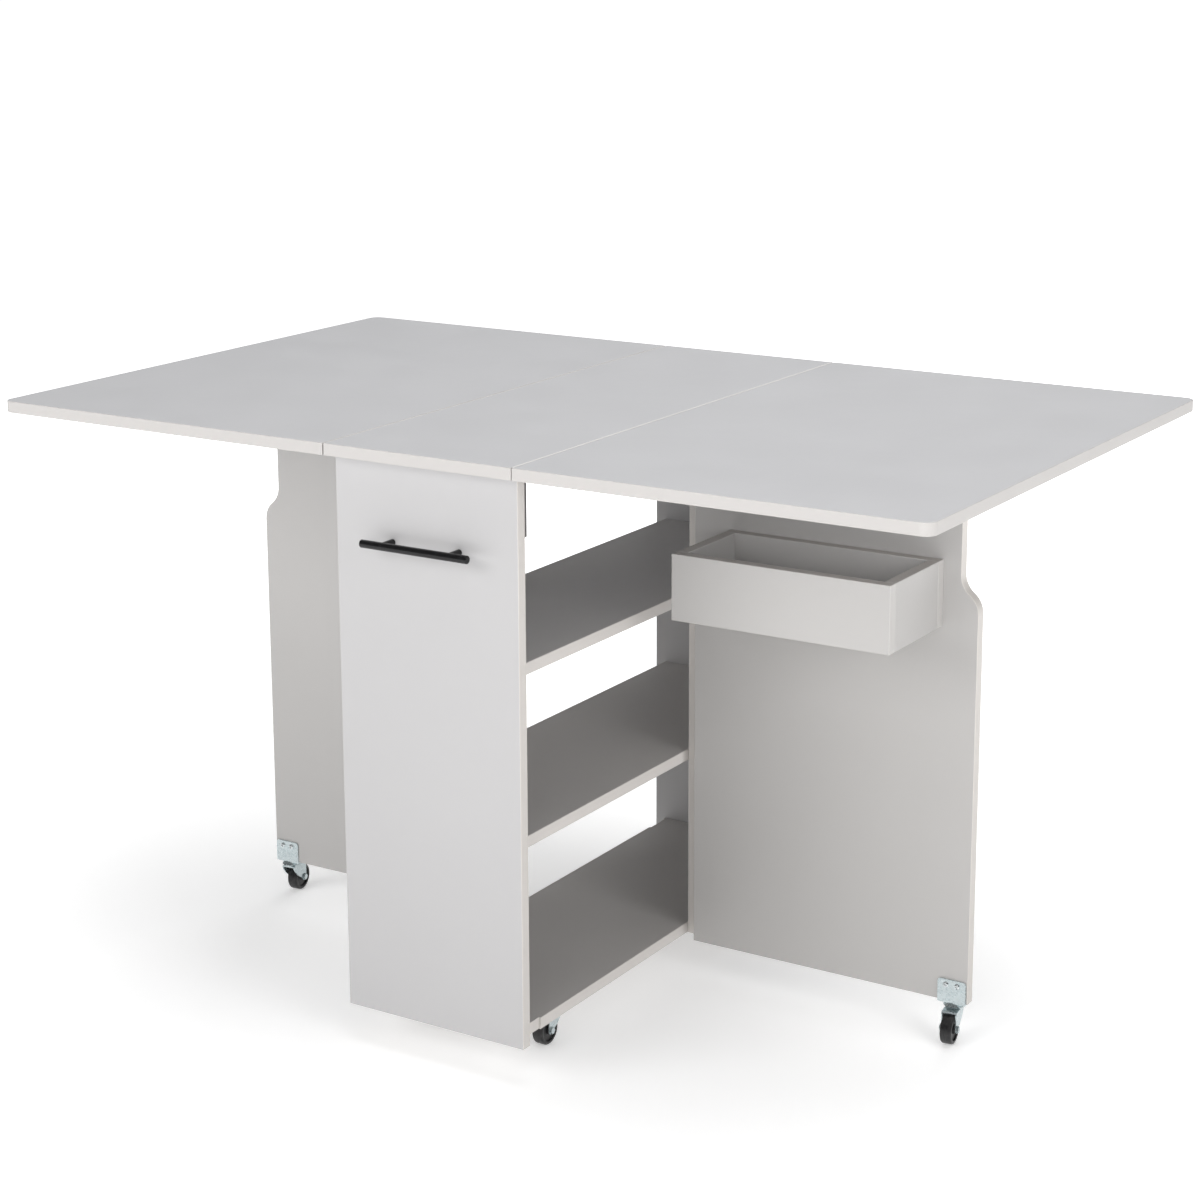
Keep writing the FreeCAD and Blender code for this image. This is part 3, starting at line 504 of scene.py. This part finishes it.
# %% Metal materials
ZINC_TONES = (0.50, 0.58, 0.60, 1), (0.63, 0.70, 0.715, 1)
SCREW_TONES = (0.80, 0.85, 0.87, 1), (0.92, 0.95, 0.96, 1)
POWDER_TONES = (0.006, 0.006, 0.0065, 1), (0.012, 0.012, 0.013, 1)
POWDER_ROUGHNESS, POWDER_SPECULAR = 0.24, 0.3
ZINC_GRAIN, POWDER_GRAIN = 0.02 * MM, 0.05 * MM


def zinc_material(name, tones, metallic):
    material, tree, shader = new_material(name)
    skin = use_group(tree, "zinc_skin")
    colour = mix_colour(tree, skin.outputs["Tone"], *tones)
    tree.links.new(colour, shader.inputs["Base Color"])
    tree.links.new(skin.outputs["Roughness"], shader.inputs["Roughness"])
    shader.inputs["Metallic"].default_value = metallic
    add_grain(tree, shader, skin.outputs["Height"], ZINC_GRAIN)
    return material


def powder_material():
    material, tree, shader = new_material("black_powder_coat")
    skin = use_group(tree, "melamine_skin", Peel_Scale=2400.0)
    dust = use_group(tree, "dust_film", Patch_Scale=120.0)
    colour = mix_colour(tree, dust.outputs["Amount"], *POWDER_TONES)
    tree.links.new(colour, shader.inputs["Base Color"])
    shader.inputs["Roughness"].default_value = POWDER_ROUGHNESS
    shader.inputs["Specular IOR Level"].default_value = POWDER_SPECULAR
    add_grain(tree, shader, skin.outputs["Height"], POWDER_GRAIN)
    return material


ZINC = zinc_material("zinc_plate", ZINC_TONES, metallic=0.9)
SCREW_ZINC = zinc_material("bright_screw_zinc", SCREW_TONES, metallic=1.0)
POWDER = powder_material()
print("metals:", ZINC.name, SCREW_ZINC.name, POWDER.name)

# %% Plastic materials
WHEEL_TONES = (0.009, 0.009, 0.010, 1), (0.040, 0.039, 0.038, 1)
GLIDE_TONES = (0.70, 0.69, 0.66, 1), (0.76, 0.75, 0.72, 1)
WHEEL_ROUGHNESS = (0.36, 0.62)
WHEEL_GRAIN, GLIDE_GRAIN = 0.04 * MM, 0.03 * MM


def wheel_material():
    material, tree, shader = new_material("black_wheel_plastic")
    skin = use_group(tree, "melamine_skin", Peel_Scale=1500.0)
    dust = use_group(tree, "dust_film", Patch_Scale=90.0)
    colour = mix_colour(tree, dust.outputs["Amount"], *WHEEL_TONES)
    tree.links.new(colour, shader.inputs["Base Color"])
    rough = ramp(tree, dust.outputs["Amount"], (0, 1), WHEEL_ROUGHNESS)
    tree.links.new(rough, shader.inputs["Roughness"])
    add_grain(tree, shader, skin.outputs["Height"], WHEEL_GRAIN)
    return material


def glide_material():
    material, tree, shader = new_material("off_white_plastic")
    skin = use_group(tree, "melamine_skin", Peel_Scale=1100.0)
    colour = mix_colour(tree, skin.outputs["Tone"], *GLIDE_TONES)
    tree.links.new(colour, shader.inputs["Base Color"])
    tree.links.new(skin.outputs["Roughness"], shader.inputs["Roughness"])
    add_grain(tree, shader, skin.outputs["Height"], GLIDE_GRAIN)
    return material


WHEEL, GLIDE = wheel_material(), glide_material()
print("plastics:", WHEEL.name, GLIDE.name)

# %% Dress the fittings
ZINC_WORDS = ("hinge", "bracket", "castor", "pins", "screws", "bolts")
for name in frame["nodes"]:
    if "glide" in name:
        dress(name, GLIDE)
    elif name in ("towel_bar", "towel_bar_posts"):
        dress(name, POWDER)
    elif "wheel" in name:
        dress(name, WHEEL)
    elif any(word in name for word in ZINC_WORDS):
        dress(name, ZINC)
print("bare nodes:", [n for n, o in frame["nodes"].items() if not o.data.materials[0].use_nodes])

# %% [markdown]
# ## Fittings found in the frame
# One CAD node often holds several separate solids, such as the four castor plates. The screws
# sit on these solids, so the next helper walks a node's mesh from point to point and gives the
# box of each solid by itself. Every place below is worked out from those boxes, so the screws
# follow the plates wherever these sit.

# %% Separate solids of a node
WELD = 1e-6
SORT_DIGITS = 4  # tenths of a millimetre, which keeps the order the same in every run


def solid_boxes(node):
    """The lowest and highest corner of each separate solid in a CAD node, in metres."""
    bm = bmesh.new()
    bm.from_mesh(frame["nodes"][node].data)
    bmesh.ops.remove_doubles(bm, verts=bm.verts, dist=WELD)
    waiting = set(bm.verts)
    boxes = []
    while waiting:
        walk = [waiting.pop()]
        low, high = walk[0].co.copy(), walk[0].co.copy()
        while walk:
            vert = walk.pop()
            low = Vector(map(min, low, vert.co))
            high = Vector(map(max, high, vert.co))
            found = [edge.other_vert(vert) for edge in vert.link_edges]
            found = [other for other in found if other in waiting]
            waiting.difference_update(found)
            walk.extend(found)
        boxes.append((low, high))
    bm.free()
    return sorted(boxes, key=lambda box: [round(c, SORT_DIGITS) for c in box[0]])


print("castor plates:", len(solid_boxes("castor_plates")))

# %% Finished pieces
CREASE = math.radians(32)


def add_piece(name, bm, material, body):
    """Makes a mesh object of a bmesh, shades it smooth up to its creases and lets it ride."""
    mesh = bpy.data.meshes.new(name)
    bm.to_mesh(mesh)
    bm.free()
    mesh.shade_smooth()
    mesh.set_sharp_from_angle(angle=CREASE)
    mesh.materials.append(material)
    piece = bpy.data.objects.new(name, mesh)
    bpy.context.scene.collection.objects.link(piece)
    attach(piece, body)
    return piece


print("edges stay sharp above", round(math.degrees(CREASE)), "degrees")

# %% [markdown]
# ## Cross-recess screws
# Every fitting is held by small zinc screws with a pressed cross. A disc with a picture of a
# cross would look painted on, so the mesh starts from the cross itself: a grid of nine squares
# that loses its four corners is the floor of the recess. Its rim is drawn up, bridged to a
# round loop and drawn out and down to the seat. Each size of head is a template, stamped at
# each place and turned further every time, because no two screws stop at the same angle.

# %% Screw template
HEAD_SIDES = 24
# heights and drops are shares of the head's height, the crown's radius a share of its radius
RECESS_FLOOR, RECESS_FLARE = 0.12, 1.15
CROWN_RADIUS, CROWN_HEIGHT = 0.68, 0.98
DOME = ((1.30, 0.22), (1.13, 0.40), (1.0, 0.36))  # spread and drop of each ring to the seat


def draw_out(bm, edges, spread, rise):
    """Extrudes a loop of edges, spreads it from the axis and lifts it; gives the new loop."""
    made = bmesh.ops.extrude_edge_only(bm, edges=edges)["geom"]
    verts = [part for part in made if isinstance(part, bmesh.types.BMVert)]
    bmesh.ops.scale(bm, verts=verts, vec=(spread, spread, 1))
    bmesh.ops.translate(bm, verts=verts, vec=(0, 0, rise))
    far_end = set(verts)
    new_edges = [part for part in made if isinstance(part, bmesh.types.BMEdge)]
    return [edge for edge in new_edges if far_end.issuperset(edge.verts)]


def add_cross(bm, cross):
    """A flat cross on z = 0: nine squares without the four at the corners."""
    bmesh.ops.create_grid(bm, x_segments=3, y_segments=3, size=cross)
    corners = []
    for face in bm.faces:
        middle = face.calc_center_median()
        if abs(middle.x * middle.y) > (cross / 3) ** 2:
            corners.append(face)
    bmesh.ops.delete(bm, geom=corners, context="FACES")


def screw_template(radius, height, cross):
    """A domed head that sits on z = 0 and looks up; cross is half the recess's width."""
    bm = bmesh.new()
    add_cross(bm, cross)
    bmesh.ops.translate(bm, verts=bm.verts, vec=(0, 0, RECESS_FLOOR * height))
    outline = [edge for edge in bm.edges if edge.is_boundary]
    rim = draw_out(bm, outline, RECESS_FLARE, (1 - RECESS_FLOOR) * height)
    crown = Matrix.Translation((0, 0, CROWN_HEIGHT * height))
    circle = bmesh.ops.create_circle(bm, segments=HEAD_SIDES, radius=CROWN_RADIUS * radius,
                                     matrix=crown)
    on_circle = set(circle["verts"])
    loop = [edge for edge in bm.edges if on_circle.issuperset(edge.verts)]
    bmesh.ops.bridge_loops(bm, edges=rim + loop)
    for spread, drop in DOME:
        loop = draw_out(bm, loop, spread, -drop * height)
    bmesh.ops.edgeloop_fill(bm, edges=loop)
    bmesh.ops.recalc_face_normals(bm, faces=bm.faces)
    mesh = bpy.data.meshes.new("screw_head_template")
    bm.to_mesh(mesh)
    bm.free()
    return mesh


PAN_HEIGHT, BOLT_HEIGHT, LOW_HEIGHT = 2.0 * MM, 2.4 * MM, 0.9 * MM
PAN_HEAD = screw_template(radius=3.5 * MM, height=PAN_HEIGHT, cross=1.9 * MM)
HINGE_HEAD = screw_template(radius=2.9 * MM, height=LOW_HEIGHT, cross=1.5 * MM)
BOLT_HEAD = screw_template(radius=4.0 * MM, height=BOLT_HEIGHT, cross=2.1 * MM)
print("faces of a screw head:", len(PAN_HEAD.polygons))

# %% Stamp the heads
SCREW_TWIST = 0.9


def stamp(template, places):
    """The template at each place; a place is a seat point and the way the head looks."""
    bm = bmesh.new()
    for number, (seat, out) in enumerate(places):
        known = len(bm.verts)
        bm.from_mesh(template)
        bm.verts.ensure_lookup_table()
        turn = Vector(out).to_track_quat("Z", "Y").to_matrix().to_4x4()
        twist = Matrix.Rotation(number * SCREW_TWIST, 4, "Z")
        place = Matrix.Translation(seat) @ turn @ twist
        bmesh.ops.transform(bm, matrix=place, verts=bm.verts[known:])
    return bm


print("each head turns", round(math.degrees(SCREW_TWIST)), "degrees further than the last")

# %% [markdown]
# ## Screws of the plates and brackets
# A castor plate has a screw in each corner, an angle under the top has two in each leg, and each
# side plate of a gate's castor bracket has two. The bracket's screws and the towel bar's bolts
# are in the frame as plain rounds, so the detailed heads replace them. The other screws are only
# here, and each sits on the sheet metal that it holds.

# %% Castor and angle screws
PLATE_SHEET = 2 * MM
PLATE_HOLE_INSET = 6 * MM
ANGLE_HALF_SPACING = 8 * MM
ANGLE_SCREW_REACH = 16 * MM


def plate_places():
    """Four seats under each castor plate of the trolley."""
    places = []
    for low, high in solid_boxes("castor_plates"):
        seat = high.z - PLATE_SHEET
        for x in (low.x + PLATE_HOLE_INSET, high.x - PLATE_HOLE_INSET):
            for y in (low.y + PLATE_HOLE_INSET, high.y - PLATE_HOLE_INSET):
                places.append((Vector((x, y, seat)), (0, 0, -1)))
    return places


def angle_places():
    """Two seats on each leg of the four angles, away from their corner."""
    places = []
    for low, high in solid_boxes("top_brackets"):
        inward = 1 if low.y < 0 else -1
        wall = low.y if inward > 0 else high.y
        middle = (low.x + high.x) / 2
        for x in (middle - ANGLE_HALF_SPACING, middle + ANGLE_HALF_SPACING):
            under_top = Vector((x, wall + inward * ANGLE_SCREW_REACH, high.z - PLATE_SHEET))
            on_panel = Vector((x, wall + inward * PLATE_SHEET, high.z - ANGLE_SCREW_REACH))
            places.append((under_top, (0, 0, -1)))
            places.append((on_panel, (0, inward, 0)))
    return places


TROLLEY_SCREWS = {"castor_plate_screws": plate_places(), "top_bracket_screws": angle_places()}
for name, places in TROLLEY_SCREWS.items():
    add_piece(name, stamp(PAN_HEAD, places), SCREW_ZINC, "cabinet")
    print(name, len(places))


# %% Bracket screws
def bracket_places(side):
    """Seats on both side plates of a gate's castor bracket, looking away from the gate."""
    gate_low, gate_high = (Vector(corner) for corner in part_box(f"{side}_gate_panel"))
    places = []
    for low, high in solid_boxes(f"{side}_bracket_screws"):
        centre = (low + high) / 2
        out = 1 if centre.y > (gate_low.y + gate_high.y) / 2 else -1
        tip = high.y if out > 0 else low.y
        places.append((Vector((centre.x, tip - out * PAN_HEIGHT, centre.z)), (0, out, 0)))
    return places


for side in ("right", "left"):
    screws = stamp(PAN_HEAD, bracket_places(side))
    heads = add_piece(f"{side}_bracket_screw_heads", screws, SCREW_ZINC, f"{side}_gate")
    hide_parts(f"{side}_bracket_screws")
    print(heads.name, "replace the plain rounds")


# %% Towel-bar bolts
def bolt_places():
    """The bolts' seats on the inside of the near end panel, where only their heads show."""
    bolt_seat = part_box("towel_bar_bolts")[1][1] - BOLT_HEIGHT
    middles = [(low + high) / 2 for low, high in solid_boxes("towel_bar_bolts")]
    return [(Vector((middle.x, bolt_seat, middle.z)), (0, 1, 0)) for middle in middles]


places = bolt_places()
heads = add_piece("towel_bar_bolt_heads", stamp(BOLT_HEAD, places), SCREW_ZINC, "cabinet")
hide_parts("towel_bar_bolts")
print(len(places), "bolts hold the towel bar")

# %% [markdown]
# ## Hinge screws
# A hinge leaf is held by three low screws, two near its outer edge and the middle one closer to
# the pin. All hinges share one rule, only the axes differ: the leaf's long axis runs along the
# pin, its wing reaches away from the pin, and the screws look away from the board.

# %% Hinge screws
HINGE_SHEET = 1.5 * MM
HINGE_SPREAD = 20 * MM
OUTER_INSET, MIDDLE_INSET = 5.5 * MM, 10.5 * MM
SCREW_ROW = ((-HINGE_SPREAD, OUTER_INSET), (0, MIDDLE_INSET), (HINGE_SPREAD, OUTER_INSET))
X, Y, Z = 0, 1, 2
HINGE_GROUPS = (
    # node of the leaves, node of their pins, body, long axis, wing axis, axis of the screws
    ("top_hinge_leaves", "top_hinge_pins", "cabinet", Y, X, Z),
    ("right_leaf_hinge_leaves", "top_hinge_pins", "right_leaf", Y, X, Z),
    ("left_leaf_hinge_leaves", "top_hinge_pins", "left_leaf", Y, X, Z),
    ("side_hinge_leaves", "side_hinge_pins", "cabinet", Z, Y, X),
    ("right_gate_hinge_leaves", "side_hinge_pins", "right_gate", Z, X, Y),
    ("left_gate_hinge_leaves", "side_hinge_pins", "left_gate", Z, X, Y),
)


def hinge_places(leaves, pins, long_axis, wing_axis, out_axis):
    """Three seats on every hinge leaf of a node."""
    pin_middles = [(low + high) / 2 for low, high in solid_boxes(pins)]
    places = []
    for low, high in solid_boxes(leaves):
        middle = (low + high) / 2
        pin = min(pin_middles, key=lambda point: (point - middle).length)
        wing = 1 if middle[wing_axis] > pin[wing_axis] else -1
        # down under the top, elsewhere to + on the table's right half and to - on its left
        out = -1 if out_axis == Z or middle.x < 0 else 1
        back = low[out_axis] if out > 0 else high[out_axis]
        edge = high[wing_axis] if wing > 0 else low[wing_axis]
        look = Vector((0, 0, 0))
        look[out_axis] = out
        for step, inset in SCREW_ROW:
            seat = middle.copy()
            seat[long_axis] += step
            seat[wing_axis] = edge - wing * inset
            seat[out_axis] = back + out * HINGE_SHEET
            places.append((seat, look))
    return places


for leaves, pins, body, *axes in HINGE_GROUPS:
    places = hinge_places(leaves, pins, *axes)
    screws = stamp(HINGE_HEAD, places)
    add_piece(leaves.replace("_leaves", "_screws"), screws, SCREW_ZINC, body)
    print(leaves, len(places), "screws")

# %% [markdown]
# ## Towel bar
# The bar is a round rod whose ends are turned to a soft edge before it is coated. That edge
# catches a thin line of light, so the rod is a cylinder along X with both end loops bevelled.

# %% Towel bar
BAR_SIDES = 64
BAR_END_ROUND, BAR_END_STEPS = 1.6 * MM, 5
ROUND = 0.5  # the bevel profile of a quarter circle


def towel_bar():
    low, high = (Vector(corner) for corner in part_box("towel_bar"))
    radius, length = (high.z - low.z) / 2, high.x - low.x
    bm = bmesh.new()
    bmesh.ops.create_cone(bm, cap_ends=True, segments=BAR_SIDES, radius1=radius, radius2=radius,
                          depth=length)
    ends = [edge for edge in bm.edges if abs(edge.verts[0].co.z - edge.verts[1].co.z) < WELD]
    bmesh.ops.bevel(bm, geom=ends, offset=BAR_END_ROUND, segments=BAR_END_STEPS, profile=ROUND,
                    affect="EDGES", material=-1)
    turn = Matrix.Rotation(math.pi / 2, 4, "Y")
    place = Matrix.Translation((low + high) / 2) @ turn
    bmesh.ops.transform(bm, matrix=place, verts=bm.verts)
    return bm


bar = add_piece("towel_bar_rod", towel_bar(), POWDER, "cabinet")
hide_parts("towel_bar")
print("towel bar of", len(bar.data.polygons), "faces")

# %% [markdown]
# ## Castor wheels
# The wheels are moulded in a two-part tool: the tread is rounded at its shoulders and carries a
# fine parting line, and each side has a raised rim, a flat web and a hub. A wheel is turned
# about its axle, so it is modelled as a lathe would make it: the outline of one side, mirrored
# and spun, then bevelled where the real moulding is round.

# %% Wheel sizes
WHEEL_STEPS = 72
WHEEL_HALF, WHEEL_RADIUS, RIM_INNER = 7.5 * MM, 19 * MM, 14.4 * MM
WEB_HALF = 5.5 * MM
HUB_HALF, HUB_RADIUS, HUB_BORE = 8 * MM, 6 * MM, 2.55 * MM
PARTING_HALF, PARTING_DEPTH = 0.35 * MM, 0.25 * MM
SHOULDER_ROUND, SMALL_ROUND = 2.4 * MM, 0.35 * MM
NEAR = 0.05 * MM
WHEEL_SIDE = (
    # distance from the wheel's middle and from its axle, from the bore out to the parting line
    (HUB_HALF, HUB_BORE),
    (HUB_HALF, HUB_RADIUS),
    (WEB_HALF, HUB_RADIUS),
    (WEB_HALF, RIM_INNER),
    (WHEEL_HALF, RIM_INNER),
    (WHEEL_HALF, WHEEL_RADIUS),
    (PARTING_HALF, WHEEL_RADIUS),
    (0, WHEEL_RADIUS - PARTING_DEPTH),
)
WHEEL_ROUNDS = (
    # the ring that is rounded, how far, and in how many steps
    (WHEEL_HALF, WHEEL_RADIUS, SHOULDER_ROUND, 6),
    (WHEEL_HALF, RIM_INNER, SMALL_ROUND, 2),
    (HUB_HALF, HUB_RADIUS, 2 * SMALL_ROUND, 3),
    (WEB_HALF, HUB_RADIUS, SMALL_ROUND, 2),
)
print("wheel of", round(2 * WHEEL_RADIUS / MM), "mm")


# %% Wheel template
def ring_edges(bm, half, radius):
    """The edges that run round the wheel at a given distance from its middle and its axle."""
    def on_ring(vert):
        far = math.hypot(vert.co.y, vert.co.z)
        return abs(abs(vert.co.x) - half) < NEAR and abs(far - radius) < NEAR
    return [edge for edge in bm.edges if all(map(on_ring, edge.verts))]


def wheel_template():
    """A wheel that turns on the X axis."""
    bm = bmesh.new()
    outline = list(WHEEL_SIDE) + [(-x, radius) for x, radius in reversed(WHEEL_SIDE[:-1])]
    verts = [bm.verts.new((x, radius, 0)) for x, radius in outline]
    edges = [bm.edges.new((verts[n - 1], verts[n])) for n in range(len(verts))]
    bmesh.ops.spin(bm, geom=verts + edges, cent=(0, 0, 0), axis=(1, 0, 0), angle=math.tau,
                   steps=WHEEL_STEPS, use_merge=True)
    bmesh.ops.remove_doubles(bm, verts=bm.verts, dist=WELD)
    bmesh.ops.recalc_face_normals(bm, faces=bm.faces)
    for half, radius, size, steps in WHEEL_ROUNDS:
        bmesh.ops.bevel(bm, geom=ring_edges(bm, half, radius), offset=size, segments=steps,
                        profile=ROUND, affect="EDGES", material=-1)
    bmesh.ops.recalc_face_normals(bm, faces=bm.faces)
    mesh = bpy.data.meshes.new("wheel_template")
    bm.to_mesh(mesh)
    bm.free()
    return mesh


WHEEL_MESH = wheel_template()
print("faces of a wheel:", len(WHEEL_MESH.polygons))

# %% Wheels on their axles
for joint in frame["record"]["behaviour"]["joints"]:
    if not joint["name"].endswith("_wheel_spin"):
        continue
    castor = joint["name"].removesuffix("_wheel_spin")
    bm = bmesh.new()
    bm.from_mesh(WHEEL_MESH)
    turn = Vector(joint["axis"]).to_track_quat("X", "Z").to_matrix().to_4x4()
    place = Matrix.Translation(joint["pos_m"]) @ turn
    bmesh.ops.transform(bm, matrix=place, verts=bm.verts)
    wheel = add_piece(f"{castor}_wheel_moulding", bm, WHEEL, f"{castor}_wheel")
    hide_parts(f"{castor}_castor_wheel")
    print(wheel.name, "spins on", joint["name"])
